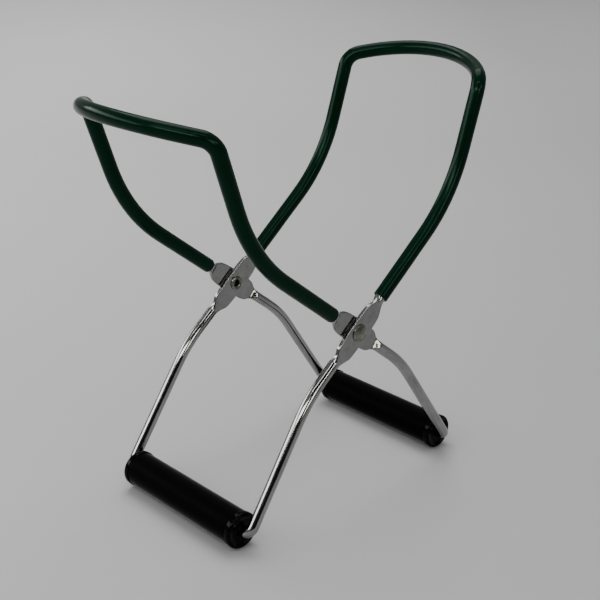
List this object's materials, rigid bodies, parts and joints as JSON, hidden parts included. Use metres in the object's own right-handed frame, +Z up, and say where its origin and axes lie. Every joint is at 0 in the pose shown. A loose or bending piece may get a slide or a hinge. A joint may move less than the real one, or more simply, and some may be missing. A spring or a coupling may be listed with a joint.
{
  "type": "canning jar lifter",
  "caption": "Scissor-action jar lifter: two bent wire halves riveted together, with soft-coated bowed jaws and roller handles it can stand on.",
  "frame": {"origin": "on the floor, midway between the two handles and between the two pivots, in the standing open pose", "axes": "+Z up; X is the way the jaws open, with half A's jaw at +X and its handle at -X; Y is the pivot axis, left is +Y"},
  "size_m": [0.1922, 0.087, 0.1863],
  "materials": {
    "plated_wire": "bright plated steel wire",
    "green_coating": "smooth glossy dipped vinyl",
    "rivet_steel": "plain zinc-plated steel",
    "handle_black": "satin black",
    "cap_black": "gloss black"
  },
  "bodies": {
    "half_a": {"wire_frame_a": "plated_wire", "grip_coating_a": "green_coating", "rivet_left": "rivet_steel", "rivet_right": "rivet_steel"},
    "half_b": {"wire_frame_b": "plated_wire", "grip_coating_b": "green_coating"},
    "handle_a": {"handle_tube_a": "handle_black", "handle_cap_a_left": "cap_black", "handle_cap_a_right": "cap_black"},
    "handle_b": {"handle_tube_b": "handle_black", "handle_cap_b_left": "cap_black", "handle_cap_b_right": "cap_black"}
  },
  "joints": [
    {"name": "pivot", "type": "hinge", "parent": "half_a", "child": "half_b", "pos_m": [0, 0, 0.0812], "axis": [0, 1, 0], "range_deg": [-55, 70]},
    {"name": "handle_a_spin", "type": "hinge", "parent": "half_a", "child": "handle_a", "pos_m": [-0.06243, 0, 0.0082], "axis": [0, 1, 0], "continuous": true},
    {"name": "handle_b_spin", "type": "hinge", "parent": "half_b", "child": "handle_b", "pos_m": [0.06243, 0, 0.0082], "axis": [0, 1, 0], "continuous": true}
  ]
}
